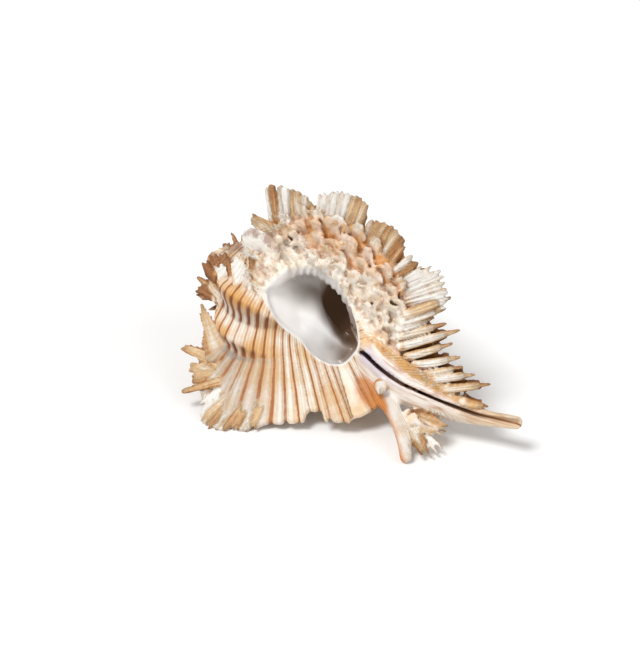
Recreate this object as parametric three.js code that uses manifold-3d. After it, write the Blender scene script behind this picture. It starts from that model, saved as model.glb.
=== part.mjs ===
// A murex shell: a right-handed sea snail's shell that grew as one piece. It lies on two of its
// varices (the ribs left by old lips) and an old canal, with its newest lip standing up.
// Millimetres, +Z up, +X towards the canal, the opening on the -Y side.
import * as THREE from 'three';
import { LoftGeometry } from 'three/addons/geometries/LoftGeometry.js';
import { mergeVertices } from 'three/addons/utils/BufferGeometryUtils.js';
import Module from 'manifold-3d';

// Driving dimensions, in mm and degrees. A turn is an angle about the coiling axis, 0 at the
// newest lip and negative towards the apex. A level is measured along the axis from the apex.
const CANAL_TIP = -90;
const AXIS_DIP = 10.7;
const LIP_LEAN = -5.6;
const LEFT_VARIX_LEAN = 5;
const GROWTH_PER_WHORL = 1.62;
const VARIX_STEP = 120;
const GROWTH_STAGES = 9;
const COLUMELLA_RADIUS = 2;
const FLOOR_UNDER_APEX = 22.9;

const { degToRad, lerp } = THREE.MathUtils;

/** How large the shell was at a turn, as a share of its size at the newest lip. */
const sizeAt = (turn) => GROWTH_PER_WHORL ** (turn / 360);

/** The outline of the newest whorl beside the axis, as radius and level, from the suture to the canal. */
const WHORL_OUTLINE = new THREE.SplineCurve([
  new THREE.Vector2(5, -19.6),
  new THREE.Vector2(10, -20.8),
  new THREE.Vector2(15, -21.9),
  new THREE.Vector2(18.9, -24.4),
  new THREE.Vector2(21.6, -29.2),
  new THREE.Vector2(22.2, -36),
  new THREE.Vector2(20.4, -43),
  new THREE.Vector2(16.5, -49.3),
  new THREE.Vector2(11, -54.5),
  new THREE.Vector2(5.5, -58.6),
  new THREE.Vector2(1.8, -62.3),
]);

// The apex is at the origin of this frame, and the axis dips towards the canal.
const LAID_DOWN = new THREE.Matrix4()
  .makeRotationY(degToRad(AXIS_DIP - 90))
  .multiply(new THREE.Matrix4().makeRotationZ(degToRad(-LIP_LEAN)));

/** The point at a radius, level and turn. The whorls run clockwise seen from the apex. */
function shellPoint(radius, level, turn) {
  const angle = degToRad(turn);
  return new THREE.Vector3(radius * Math.cos(angle), -radius * Math.sin(angle), level)
    .applyMatrix4(LAID_DOWN);
}

/** The direction of growth at a turn. */
function growthDirection(turn) {
  return shellPoint(1, 0, turn + 90);
}

const wasm = await Module();
wasm.setup();

/** A closed geometry as a solid. */
function solidOf(geometry) {
  const skinOnly = new THREE.BufferGeometry();
  skinOnly.setAttribute('position', geometry.attributes.position);
  skinOnly.setIndex(geometry.index);
  const merged = mergeVertices(skinOnly, 1e-5);
  return new wasm.Manifold(new wasm.Mesh({
    numProp: 3,
    vertProperties: new Float32Array(merged.attributes.position.array),
    triVerts: new Uint32Array(merged.index.array),
  }));
}

/** The middle of a ring of points. */
function middle(ring) {
  return ring.reduce((sum, point) => sum.add(point), new THREE.Vector3()).divideScalar(ring.length);
}

/** A closed skin over rings of points, capped at both ends. */
function skin(rings) {
  const start = middle(rings[0]);
  const facing = new THREE.Vector3();
  rings[0].forEach((point, i) => {
    const next = rings[0][(i + 1) % rings[0].length];
    facing.add(point.clone().sub(start).cross(next.clone().sub(start)));
  });
  const windsForward = facing.dot(middle(rings[1]).sub(start)) > 0;
  const wound = windsForward ? rings : rings.map((ring) => [...ring].reverse());
  return solidOf(new LoftGeometry(wound, { capStart: true, capEnd: true }));
}

// --- Whorls -----------------------------------------------------------------------------------

const OUTLINE_STEPS = 17;
const HUMP_HEIGHT = 0.07;      // the axial humps between two varices, as a share of the radius
const HUMPS_PER_STAGE = 2;
const VARIX_SWELL = 0.05;
const PLUG_TURN = 2;           // each stage reaches a little into the newer one, slightly smaller
const PLUG_SHARE = 0.985;

/** How far the whorl swells at a turn and a place on its outline from 0 to 1. */
function swell(turn, along) {
  const stage = THREE.MathUtils.euclideanModulo(-turn, VARIX_STEP) / VARIX_STEP;
  const shoulder = Math.exp(-(((along - 0.36) / 0.22) ** 2));
  const hump = Math.sin(Math.PI * stage) * Math.sin(Math.PI * HUMPS_PER_STAGE * stage) ** 2;
  const varix = Math.cos(Math.PI * Math.min(stage, 1 - stage) / 0.2) * 0.5 + 0.5;
  const nearVarix = Math.min(stage, 1 - stage) < 0.2 ? varix : 0;
  return 1 + shoulder * (HUMP_HEIGHT * hump + VARIX_SWELL * nearVarix - HUMP_HEIGHT / 2);
}

/** The ring of points round the filled whorl at a turn, shrunk towards the apex by a share. */
function whorlRing(turn, share) {
  const size = sizeAt(turn) * share;
  const ring = [];
  for (let j = 0; j <= OUTLINE_STEPS; j += 1) {
    const along = j / OUTLINE_STEPS;
    const place = WHORL_OUTLINE.getPointAt(along);
    ring.push(shellPoint(place.x * swell(turn, along) * size, place.y * size, turn));
  }
  ring.push(shellPoint(COLUMELLA_RADIUS * 0.6 * size, -60 * size, turn));
  ring.push(shellPoint(COLUMELLA_RADIUS * 0.6 * size, -21 * size, turn));
  return ring;
}

/** One growth stage, the length of whorl between two varices, plugged into the newer stage. */
function growthStage(stage) {
  const newerTurn = -stage * VARIX_STEP;
  const steps = stage < 3 ? 12 : 8;
  const rings = [];
  if (stage > 0) {
    rings.push(whorlRing(newerTurn + PLUG_TURN, PLUG_SHARE));
  }
  const firstTurn = stage > 0 ? newerTurn - PLUG_TURN / 2 : newerTurn;
  for (let i = 0; i <= steps; i += 1) {
    rings.push(whorlRing(lerp(firstTurn, newerTurn - VARIX_STEP, i / steps), 1));
  }
  return skin(rings);
}

/** The column in the middle of the whorls, with the blunt first whorl at its top. */
function columella() {
  const profile = [
    new THREE.Vector2(0, -62),
    new THREE.Vector2(COLUMELLA_RADIUS, -60),
    new THREE.Vector2(COLUMELLA_RADIUS, -11),
    new THREE.Vector2(3.4, -7.5),
    new THREE.Vector2(2.4, -4.5),
    new THREE.Vector2(1.1, -1.6),
    new THREE.Vector2(0, -0.8),
  ];
  const lathe = new THREE.LatheGeometry(profile, 10);
  lathe.rotateX(Math.PI / 2).applyMatrix4(LAID_DOWN);
  return solidOf(lathe);
}

// --- Varices and their fronds -----------------------------------------------------------------

/** The line along which a varix stands: the whorl's outline, then the side of the canal. */
const VARIX_LINE = new THREE.SplineCurve([
  new THREE.Vector2(8.5, -20.4),
  new THREE.Vector2(15, -21.9),
  new THREE.Vector2(18.9, -24.4),
  new THREE.Vector2(21.6, -29.2),
  new THREE.Vector2(22.2, -36),
  new THREE.Vector2(20.4, -43),
  new THREE.Vector2(16.5, -49.3),
  new THREE.Vector2(11, -55),
  new THREE.Vector2(6, -61),
  new THREE.Vector2(3, -68),
  new THREE.Vector2(1.5, -75),
  new THREE.Vector2(0.6, -81),
]);

// The fronds of each varix, from the suture to the canal: place along the varix line from 0 to 1,
// reach above the whorl, and depth of the notch after the frond as a share of the reach.
const LIP_FRONDS = [
  [0.03, 9.5, 0.5], [0.1, 12.5, 0.4], [0.16, 14.5, 0.3], [0.21, 12, 0.35], [0.27, 11, 0.3],
  [0.32, 13, 0.25], [0.38, 15, 0.4], [0.44, 15.5, 0.35], [0.5, 16.5, 0.45], [0.56, 19, 0.35],
  [0.61, 19.5, 0.45], [0.66, 17.5, 0.5], [0.71, 17, 0.5], [0.76, 16, 0.5], [0.81, 14, 0.5],
  [0.86, 11.5, 0.55], [0.91, 8.5, 0.5], [0.96, 5, 0.5],
];
const LEFT_FRONDS = [
  [0.04, 8, 0.5], [0.11, 10.5, 0.35], [0.18, 13, 0.3], [0.24, 17.5, 0.35], [0.31, 21, 0.2],
  [0.37, 21.5, 0.25], [0.43, 19.5, 0.2], [0.49, 18, 0.2], [0.55, 16.5, 0.3], [0.6, 14.5, 0.3],
  [0.66, 14, 0.4], [0.72, 10, 0.5], [0.79, 6, 0.5],
];
const BACK_FRONDS = [
  [0.04, 7, 0.5], [0.11, 9, 0.4], [0.18, 10, 0.3], [0.25, 11.3, 0.3], [0.32, 11.8, 0.25],
  [0.39, 11.8, 0.3], [0.46, 11.3, 0.3], [0.53, 10.3, 0.3], [0.6, 9, 0.4], [0.67, 8, 0.45],
  [0.74, 6.5, 0.5], [0.81, 5, 0.5],
];
const EARLY_FRONDS = [
  [0.03, 8, 0.4], [0.1, 12, 0.35], [0.18, 13, 0.4], [0.25, 9, 0.5],
];

/** One varix at a turn: a thick root that thins to a fluted wing with a row of fronds. */
function varix(turn, fronds, size) {
  const rings = [];
  const addRing = (along, reach) => {
    const place = VARIX_LINE.getPointAt(along).multiplyScalar(size);
    const tangent = VARIX_LINE.getTangentAt(along);
    const forward = growthDirection(turn);
    const taper = lerp(1, 0.4, along) * Math.sqrt(size);
    // distance behind the lip's front face, height above the whorl
    const section = [
      [1.2, -2.5], [1.4, 1.5], [0.9, reach * 0.6], [0.3, reach], [-0.5, reach * 0.97],
      [-2.2, reach * 0.5], [-6.5, 0], [-6.5, -2.5],
    ];
    rings.push(section.map(([ahead, height]) => shellPoint(
      place.x - tangent.y * height * (height < 0 ? taper : 1),
      place.y + tangent.x * height * (height < 0 ? taper : 1),
      turn,
    ).addScaledVector(forward, ahead * taper)));
  };
  fronds.forEach(([along, reach, notch], i) => {
    const next = fronds[i + 1];
    addRing(along, reach);
    if (next) {
      addRing((along + next[0]) / 2, Math.min(reach, next[1]) * (1 - notch));
    }
  });
  addRing(Math.min(fronds.at(-1)[0] + 0.03, 1), 0.8);
  return skin(rings);
}

/** A closed tube through stations of [place, radius across, radius along growth]. */
function tube(stations, sides) {
  const path = new THREE.CatmullRomCurve3(stations.map(([place]) => place));
  const steps = (stations.length - 1) * 3;
  const frames = path.computeFrenetFrames(steps);
  const rings = [];
  for (let i = 0; i <= steps; i += 1) {
    const share = i / steps;
    const centre = path.getPoint(share);
    const span = Math.min(Math.floor(share * (stations.length - 1)), stations.length - 2);
    const within = share * (stations.length - 1) - span;
    const radius = lerp(stations[span][1], stations[span + 1][1], within);
    const ring = [];
    for (let j = 0; j < sides; j += 1) {
      const angle = (2 * Math.PI * j) / sides;
      ring.push(centre.clone()
        .addScaledVector(frames.normals[i], radius * Math.cos(angle))
        .addScaledVector(frames.binormals[i], radius * Math.sin(angle)));
    }
    rings.push(ring);
  }
  return skin(rings);
}

/** The place beside the axis at distances towards the lip and towards the growth direction. */
function beside(towardsLip, ahead, level) {
  return shellPoint(Math.hypot(towardsLip, ahead), level, Math.atan2(ahead, towardsLip) * (180 / Math.PI));
}

/** The siphonal canal, bent a little back towards the lip's side. */
function canal() {
  return tube([
    [beside(3.2, 0.5, -43), 6.2],
    [beside(-0.2, 1.5, -54), 5.4],
    [beside(-2, 2, -63), 4.4],
    [beside(-2, 1.6, -72), 3.3],
    [beside(-0.8, 0.5, -81), 2.2],
    [beside(0.8, -0.8, CANAL_TIP), 0.8],
  ], 10);
}

/** An old canal, left as a curved spike where the canal stood at an earlier varix. */
function oldCanal(turn, reach, tipLevel, tipLean) {
  return tube([
    [shellPoint(1.5, -44, turn), 5.5],
    [shellPoint(6, -57, turn), 3.4],
    [shellPoint(lerp(6, reach, 0.5), lerp(-57, tipLevel, 0.5), turn + tipLean / 3), 2.4],
    [shellPoint(reach, tipLevel, turn + tipLean), 1],
  ], 8);
}

// --- Opening ----------------------------------------------------------------------------------

// The hollow from its mouth back into the whorl: turn, radius, level, half width, half length.
const HOLLOW = [
  [92, 25, -29, 6.5, 7],
  [60, 21, -31, 11.5, 10],
  [32, 17, -32, 12, 11],
  [10, 11, -32.5, 8, 11],
  [0, 8.2, -32.8, 4.9, 10.6],
  [-16, 10, -34, 6.2, 10.8],
  [-45, 12, -33.8, 6, 10.5],
  [-90, 11, -31.2, 5.2, 9],
  [-135, 9.4, -28.6, 4, 7],
  [-170, 8.2, -26.5, 2.2, 4],
];

/** The space inside the last whorl, open at the mouth. */
function hollow() {
  const sides = 12;
  return skin(HOLLOW.map(([turn, radius, level, halfWidth, halfLength]) => {
    const ring = [];
    for (let j = 0; j < sides; j += 1) {
      const angle = (2 * Math.PI * j) / sides;
      const out = halfWidth * Math.cos(angle);
      const down = halfLength * Math.sin(angle);
      ring.push(shellPoint(Math.max(radius + out + down * 0.18, 2.6), level + down, turn));
    }
    return ring;
  }));
}

// --- The shell --------------------------------------------------------------------------------

let body = columella().add(canal());
for (let stage = 0; stage < GROWTH_STAGES; stage += 1) {
  body = body.add(growthStage(stage));
}
body = body
  .add(varix(0, LIP_FRONDS, 1))
  .add(varix(-VARIX_STEP, BACK_FRONDS, sizeAt(-VARIX_STEP)))
  .add(varix(-2 * VARIX_STEP + LEFT_VARIX_LEAN, LEFT_FRONDS, sizeAt(-2 * VARIX_STEP)))
  .add(oldCanal(-2 * VARIX_STEP, 19.6, -76, 3))
  .add(oldCanal(-VARIX_STEP, 12.5, -72, 0));
for (let older = 3; older < GROWTH_STAGES; older += 1) {
  const size = sizeAt(-older * VARIX_STEP);
  const fronds = EARLY_FRONDS.map(([along, reach, notch]) => [along, reach * size, notch]);
  body = body.add(varix(-older * VARIX_STEP, fronds, size));
}
body = body.subtract(hollow());

// The lowest tips are worn to one level, on which the shell rests.
const ground = new THREE.BoxGeometry(400, 400, 100);
ground.translate(0, 0, -50 - FLOOR_UNDER_APEX);
body = body.subtract(solidOf(ground));

// Slivers of space shut in between the growth stages are filled: only the outer skin is kept.
const skins = body.decompose();
const outerSkin = skins.reduce((largest, one) => (one.volume() > largest.volume() ? one : largest));

const mesh = outerSkin.getMesh();
const geometry = new THREE.BufferGeometry();
geometry.setAttribute('position', new THREE.BufferAttribute(new Float32Array(mesh.vertProperties), 3));
geometry.setIndex(new THREE.BufferAttribute(new Uint32Array(mesh.triVerts), 1));
geometry.computeBoundingBox();
const { min, max } = geometry.boundingBox;

const shell = new THREE.Mesh(
  geometry,
  new THREE.MeshStandardMaterial({ color: 0xe3d2b8, roughness: 0.62, metalness: 0 }),
);
shell.name = 'shell';
shell.position.set(-(min.x + max.x) / 2, -(min.y + max.y) / 2, FLOOR_UNDER_APEX);

const murex = new THREE.Group();
murex.add(shell);
export default murex;
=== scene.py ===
"""A murex shell. It grew as one piece, so its whorls, flanges, fronds and canal are one skin.

The skin is shaped in a block of clay: a grid of places that each know how far outside the shell
they are. Whorls, flanges, rods and fronds are added to the clay, the hollow is dug out of it, and
its surface becomes the mesh. Lengths in the clay are millimetres, measured from the shell's apex.
"""
import math

import bpy
import numpy as np
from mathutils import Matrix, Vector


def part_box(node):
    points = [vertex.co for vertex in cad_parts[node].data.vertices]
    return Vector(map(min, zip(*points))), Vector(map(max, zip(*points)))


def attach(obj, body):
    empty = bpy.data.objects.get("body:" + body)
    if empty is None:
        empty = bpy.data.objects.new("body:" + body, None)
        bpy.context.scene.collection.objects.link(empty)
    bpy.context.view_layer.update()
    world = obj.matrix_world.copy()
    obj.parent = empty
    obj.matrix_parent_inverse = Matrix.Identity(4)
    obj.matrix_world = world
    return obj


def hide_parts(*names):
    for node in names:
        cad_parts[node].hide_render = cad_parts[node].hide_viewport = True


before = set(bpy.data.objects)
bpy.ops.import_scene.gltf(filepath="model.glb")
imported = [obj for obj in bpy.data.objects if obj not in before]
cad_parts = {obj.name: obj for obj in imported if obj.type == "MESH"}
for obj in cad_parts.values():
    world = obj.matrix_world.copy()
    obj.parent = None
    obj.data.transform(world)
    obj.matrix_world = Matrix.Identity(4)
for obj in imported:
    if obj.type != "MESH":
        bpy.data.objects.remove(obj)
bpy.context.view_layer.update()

import openvdb as vdb
from mathutils import Vector

MM = 0.001

# --- Driving dimensions, in millimetres and degrees ---------------------------------------------
# A turn is an angle about the coiling axis, 0 at the newest lip and negative towards the apex.
# A level is measured along the axis from the apex, negative towards the canal.

APEX_FROM_LOW_CORNER = np.array([-0.79, 32.15, 22.9])
FLOOR_BELOW_APEX = 22.9
# How steeply the axis falls from the apex to the canal, and how far the newest lip leans over.
AXIS_DIP = 10.7
LIP_LEAN = -5.6
# How many times larger the shell is after each whorl.
GROWTH_PER_WHORL = 1.62
WHORL_COUNT = 7
# A varix, with its flange and fronds, every third of a whorl. The left one came in a little late.
VARIX_STEP = 120
DORSAL_TURN = -120
LEFT_TURN = -235
# The size of a place in the clay, the most triangles in the mesh, and "far outside" in the clay.
CLAY_STEP = 0.4
FACE_LIMIT = 196000
FAR = 9.0

dip = math.radians(AXIS_DIP)
lean = math.radians(LIP_LEAN)
TO_APEX = np.array([-math.cos(dip), 0.0, math.sin(dip)])
skyward = np.array([math.sin(dip), 0.0, math.cos(dip)])
sideways = np.array([0.0, -1.0, 0.0])
TO_LIP = math.cos(lean) * skyward + math.sin(lean) * sideways
AHEAD = math.cos(lean) * sideways - math.sin(lean) * skyward


def out_at(turn):
    """The direction away from the axis at a turn."""
    angle = math.radians(turn)
    return math.cos(angle) * TO_LIP + math.sin(angle) * AHEAD


def growth_at(turn):
    """The direction of growth at a turn."""
    return out_at(turn + 90)


def place(radius, level, turn, ahead=0.0):
    """The place at a radius, level and turn, moved ahead in the direction of growth."""
    return radius * out_at(turn) + level * TO_APEX + ahead * growth_at(turn)


def beside(lipward, ahead, level):
    """The place beside the axis at distances towards the lip and ahead of it."""
    return lipward * TO_LIP + ahead * AHEAD + level * TO_APEX


def out_and_ahead(radius, turn):
    """Distances towards the lip and ahead of it, from a radius and a turn."""
    angle = np.radians(turn)
    return radius * np.cos(angle), radius * np.sin(angle)


def size_at(turn):
    """How large the shell was at a turn, as a share of its size at the newest lip."""
    return GROWTH_PER_WHORL ** (turn / 360)


# --- Numbers ------------------------------------------------------------------------------------

def smoothstep(value, low, high):
    share = np.clip((value - low) / (high - low), 0, 1)
    return share * share * (3 - 2 * share)


def smooth_min(first, second, reach):
    """The nearer of two skins, blended where they come within a reach of each other."""
    blend = np.maximum(reach - np.abs(first - second), 0) / reach
    return np.minimum(first, second) - blend * blend * reach * 0.25


def smooth_max(first, second, reach):
    return -smooth_min(-first, -second, reach)


def curve_through(stations, steps):
    """More stations along a smooth curve through a few, with steps between each pair."""
    points = np.asarray(stations, float)
    ends = np.vstack([2 * points[0] - points[1], points, 2 * points[-1] - points[-2]])
    made = []
    for before, first, second, after in zip(ends, ends[1:], ends[2:], ends[3:]):
        for share in np.arange(steps) / steps:
            made.append(0.5 * (
                2 * first + (second - before) * share
                + (2 * before - 5 * first + 4 * second - after) * share ** 2
                + (3 * first - before - 3 * second + after) * share ** 3
            ))
    return np.array(made + [points[-1]])


def corner_weights(base, share):
    """The eight grid places round each spot, with the weight of each."""
    for corner in range(8):
        step = np.array([corner & 1, corner >> 1 & 1, corner >> 2 & 1])
        yield np.prod(np.where(step, share, 1 - share), axis=-1), np.moveaxis(base + step, -1, 0)


LATTICE = np.random.default_rng(7).random((32, 32, 32)).astype(np.float32)


def lumps(spots, size):
    """Soft random lumps of a size, from -1 to 1, at each spot."""
    scaled = spots / size
    base = np.floor(scaled).astype(np.int32)
    share = scaled - base
    share = share * share * (3 - 2 * share)
    total = sum(weight * LATTICE[tuple(at % 32)] for weight, at in corner_weights(base, share))
    return 2 * total - 1


class Chart:
    """A flat chart beside the axis, of radius and level, with values worked out at every place."""

    STEP = 0.4
    LOW = (-16, -100)
    HIGH = (64, 10)

    def __init__(self, values):
        radius, level = np.meshgrid(
            np.arange(self.LOW[0], self.HIGH[0], self.STEP),
            np.arange(self.LOW[1], self.HIGH[1], self.STEP),
            indexing="ij",
        )
        self.counts = radius.shape
        self.tables = [np.asarray(table, np.float32).ravel() for table in values(radius, level)]

    def read(self, radius, level):
        """The values at each place."""
        column = np.clip((radius - self.LOW[0]) / self.STEP, 0, self.counts[0] - 1.01)
        row = np.clip((level - self.LOW[1]) / self.STEP, 0, self.counts[1] - 1.01)
        i = column.astype(np.int32)
        j = row.astype(np.int32)
        column = column - i
        row = row - j
        corner = i * self.counts[1] + j
        below = corner + self.counts[1]
        answers = []
        for table in self.tables:
            low = table[corner] * (1 - row) + table[corner + 1] * row
            high = table[below] * (1 - row) + table[below + 1] * row
            answers.append(low * (1 - column) + high * column)
        return answers


def loop_chart(loop):
    """A chart of how far outside a loop each place is, and how far round the loop."""
    corners = np.asarray(loop, float)

    def values(radius, level):
        nearest = np.full(radius.shape, 1e9)
        round_loop = np.zeros(radius.shape)
        inside = np.zeros(radius.shape, bool)
        walked = 0.0
        for (x, y), (next_x, next_y) in zip(corners, np.roll(corners, -1, axis=0)):
            run_x, run_y = next_x - x, next_y - y
            length = math.hypot(run_x, run_y)
            share = ((radius - x) * run_x + (level - y) * run_y) / length ** 2
            share = np.clip(share, 0, 1)
            gap = np.hypot(radius - x - share * run_x, level - y - share * run_y)
            closer = gap < nearest
            nearest = np.where(closer, gap, nearest)
            round_loop = np.where(closer, walked + share * length, round_loop)
            if run_y:
                crossing = x + (level - y) / run_y * run_x
                inside ^= ((y > level) != (next_y > level)) & (radius < crossing)
            walked += length
        return np.where(inside, -nearest, nearest), round_loop

    return Chart(values)


def slope_chart(points):
    """A chart of a smooth surface through a few points of radius, level and height."""
    x, y, height = np.asarray(points, float).T

    def spread(gap):
        return gap ** 2 * np.log(np.maximum(gap, 1e-6))

    plane = np.stack([np.ones_like(x), x, y], 1)
    gaps = spread(np.hypot(x[:, None] - x, y[:, None] - y))
    system = np.block([[gaps, plane], [plane.T, np.zeros((3, 3))]])
    weights = np.linalg.solve(system, np.concatenate([height, np.zeros(3)]))

    def values(radius, level):
        surface = weights[-3] + weights[-2] * radius + weights[-1] * level
        for weight, point_x, point_y in zip(weights, x, y):
            surface = surface + weight * spread(np.hypot(radius - point_x, level - point_y))
        return (surface,)

    return Chart(values)


# --- Clay ---------------------------------------------------------------------------------------

class Clay:
    """A block of space that knows, at each place, how far outside the shell it is."""

    def __init__(self, low, high, step):
        self.step = step
        self.low = np.asarray(low, float)
        self.shape = tuple(np.ceil((np.asarray(high) - self.low) / step).astype(int) + 1)
        self.outside = np.full(self.shape, FAR, np.float32)
        self.notes = {name: np.zeros(self.shape, np.float32) for name in ("tip", "tint", "flute")}

    def spots(self, cut=None):
        cut = cut or tuple(slice(0, count) for count in self.shape)
        axes = [low + self.step * np.arange(part.start, part.stop) for low, part in zip(self.low, cut)]
        return np.stack(np.meshgrid(*axes, indexing="ij"), -1).astype(np.float32)

    def window(self, points, margin):
        """The part of the block around some points, or None where it misses the block."""
        low = np.floor((np.min(points, 0) - margin - self.low) / self.step).astype(int)
        high = np.ceil((np.max(points, 0) + margin - self.low) / self.step).astype(int) + 1
        low = np.maximum(low, 0)
        high = np.minimum(high, self.shape)
        if np.any(high - low < 2):
            return None
        return tuple(slice(a, b) for a, b in zip(low, high))

    def add(self, cut, outside, blend, **notes):
        """Adds a shape to part of the block, and notes what its surface is."""
        old = self.outside[cut]
        newer = smoothstep(old - outside, -blend / 2, blend / 2)
        self.outside[cut] = smooth_min(old, outside, blend)
        for name, value in notes.items():
            note = self.notes[name]
            note[cut] = note[cut] * (1 - newer) + value * newer

    def dig(self, cut, outside, blend):
        """Removes a shape from part of the block."""
        self.outside[cut] = smooth_max(self.outside[cut], -outside, blend)

    def sample(self, grid, points):
        """A grid's values at points that lie between its places."""
        at = (points - self.low) / self.step
        base = np.clip(np.floor(at).astype(int), 0, np.array(self.shape) - 2)
        share = np.clip(at - base, 0, 1)
        return sum(weight * grid[tuple(corner)] for weight, corner in corner_weights(base, share))


def axis_places(spots):
    """Radius, level and turn of each spot."""
    lipward = spots @ TO_LIP.astype(np.float32)
    ahead = spots @ AHEAD.astype(np.float32)
    level = spots @ TO_APEX.astype(np.float32)
    return np.hypot(lipward, ahead), level, np.degrees(np.arctan2(ahead, lipward))


# --- Whorls -------------------------------------------------------------------------------------

WHORL_OUTLINE = curve_through([
    (5, -19.6), (10, -20.8), (15, -21.9), (18.9, -24.4), (21.6, -29.2), (22.2, -36),
    (20.4, -43), (16.5, -49.3), (11, -54.5), (5.5, -58.6), (1.8, -62.3),
], 8)
whorl_chart = loop_chart(np.vstack([WHORL_OUTLINE, [(-5, -62.3), (-5, -19.6)]]))
# On the flanges the cords fan out from a fuller outline, so that they stay apart at the canal end.
SHEET_OUTLINE = np.vstack([WHORL_OUTLINE[:-8], [(-2, -62.6), (-5, -63.4)]])
sheet_chart = loop_chart(np.vstack([SHEET_OUTLINE, [(-5, -19.6)]]))

# Cords run round the whorls. They lie closer together near the suture and towards the canal.
CORD_PLACES = [0, 8, 16, 40, 52, 62, 70]
CORD_COUNTS = [0, 4.5, 7.5, 15.5, 21, 26, 31]
CORD_HEIGHT = 0.34
# Humps: their shares of the way back from one varix to the one before, and of the full height.
HUMP_HEIGHT = 4.4
HUMPS = [(0.12, 0.9), (0.39, 1.0), (0.66, 0.3)]
HUMP_WIDTH = 0.085
# How far along the outline the humps stand highest, and over what length they fade.
HUMP_MIDDLE = 25
HUMP_LENGTH = 16


def cord_number(along):
    """How many cords lie between the suture and a place along the outline."""
    return np.interp(along, CORD_PLACES, CORD_COUNTS).astype(np.float32)


def humps_at(turn, along, shift=0.0):
    """The axial humps between two varices, from 0 to 1."""
    stage = np.mod(-turn / VARIX_STEP + shift, 1)
    bumps = sum(share * np.exp(-((stage - centre) / HUMP_WIDTH) ** 2) for centre, share in HUMPS)
    return bumps * np.exp(-((along - HUMP_MIDDLE) / HUMP_LENGTH) ** 2)


def cord_relief(cord):
    """Rounded cords with narrow grooves between them, from 0 to 1."""
    across = 2 * np.abs(cord - np.floor(cord) - 0.5)
    return 1 - across ** 3


def whorl_skin(radius, level, turn, number):
    """How far outside one whorl each place is, with its place along the outline and its age."""
    age = turn - 360 * number
    size = (GROWTH_PER_WHORL ** (age / 360)).astype(np.float32)
    outside, along = whorl_chart.read(radius / size, level / size)
    outside = outside * size
    near = np.flatnonzero(np.abs(outside) < 4)
    cord = cord_number(along.flat[near])
    relief = HUMP_HEIGHT * humps_at(age.flat[near], along.flat[near])
    relief = relief + CORD_HEIGHT * cord_relief(cord)
    outside.flat[near] -= (relief * size.flat[near]).astype(np.float32)
    if number == 0:
        not_grown = radius * np.sin(np.radians(np.clip(turn, 0, 90)))
        outside = np.where(turn > 0, np.maximum(outside, not_grown), outside)
    return outside, along, age


def add_whorls(clay):
    spots = clay.spots()
    radius, level, turn = axis_places(spots)
    for number in range(WHORL_COUNT):
        outside, _, _ = whorl_skin(radius, level, turn, number)
        clay.outside = smooth_min(clay.outside, outside, 0.4).astype(np.float32)


# --- Flanges ------------------------------------------------------------------------------------

# The edges of the flanges beside the axis, as radius and level.
LIP_EDGE = [
    (-2.9, -20.8), (1.2, -19), (4.2, -17.9), (5.9, -16.3), (6.6, -14.4), (10, -15),
    (14.5, -18.6), (18.5, -19.6), (21.3, -22.8), (24, -27),
    (26, -31.5), (26.4, -37), (26.4, -42), (25.6, -46.4), (23.2, -50.4), (20.8, -53.2),
    (18.8, -56.2), (14.5, -57.6), (10.5, -57.2), (7.4, -57.2), (5, -58.6), (3.2, -61), (1.8, -64.5),
    (1.2, -69), (0.8, -74), (0.4, -79), (-4, -80), (-4, -22),
]
LEFT_EDGE = [
    (4, -13.5), (10, -14), (16, -15), (21, -15.5), (24.5, -18), (27.5, -20.5), (29.5, -23),
    (31.6, -25.3), (33.3, -26.8), (35.9, -28.6), (36.3, -31), (36.1, -33.4), (34.6, -35.4),
    (32.5, -37.5), (31.4, -39.6), (30.2, -41.0), (28.6, -41.4), (25.7, -45.1), (23.1, -48.1),
    (21.2, -48.2), (19.4, -49.4), (18.0, -50.8), (19.4, -52.6), (19.8, -54), (17.2, -57.3),
    (14.9, -59.2), (12, -60.5), (8, -62), (5, -66), (2, -68), (-4, -68), (-4, -13.5),
]
DORSAL_EDGE = [
    (5, -16), (10, -16.6), (15, -17), (19, -19), (22.4, -23.4), (23.6, -29), (23.2, -35),
    (21.6, -40), (18.6, -45), (14.6, -49.6), (10.4, -54), (7, -58), (4.6, -63), (2, -67),
    (-4, -67), (-4, -16),
]

# The lip faces this way: towards the lip, ahead and towards the apex. Its apex end rides forward,
# this way, over the older whorl, so places on the lip are given as if seen along this line.
FACING = np.array([0.519, 0.741, -0.425])
LIP_FRONT = slope_chart([
    (-3, -16, 13), (6, -8, 10), (12, -8, 5), (0, -20, 14), (3, -18.5, 11.6), (6.2, -23.7, 9.4),
    (9.5, -19, 6.6), (10.1, -27.5, 3.6),
    (13.6, -18.5, 2.2), (14, -24, 1.4), (12.5, -31.5, 0.6), (18, -22, 0.6), (20, -30, 0.6),
    (26, -28, 0.6), (26, -40, 0.6), (16, -40, 0.6), (10, -44, 0.6), (20, -52, 0.6), (6, -50, 0.6),
    (2, -60, 0.6), (10, -56, 0.6), (0, -75, 0.6), (-3, -50, 0.6),
])


def slid(radius, level, ahead):
    """A radius and level, slid so far ahead along the way the lip faces."""
    return radius + ahead * FACING[0] / FACING[1], level + ahead * FACING[2] / FACING[1]


def flat_view(out, ahead, level):
    """The radius and level that a place near the lip would have if slid back to the lip's plane."""
    return slid(out, level, -ahead)


def lip_place(radius, level, ahead=0.0):
    """A place on the lip's front, given as slid back to the lip's plane, and raised ahead of it."""
    front, = LIP_FRONT.read(np.array(radius), np.array(level))
    slide = max(float(front) - 0.6, 0) / FACING[1]
    forward = slide * (FACING[0] * TO_LIP + FACING[1] * AHEAD + FACING[2] * TO_APEX)
    return place(radius, level, 0, ahead) + forward


def raised_place(radius, level, ahead):
    """The same, but raised so that it would still slide back to the same radius and level."""
    return lip_place(*slid(radius, level, ahead), ahead)


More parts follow.
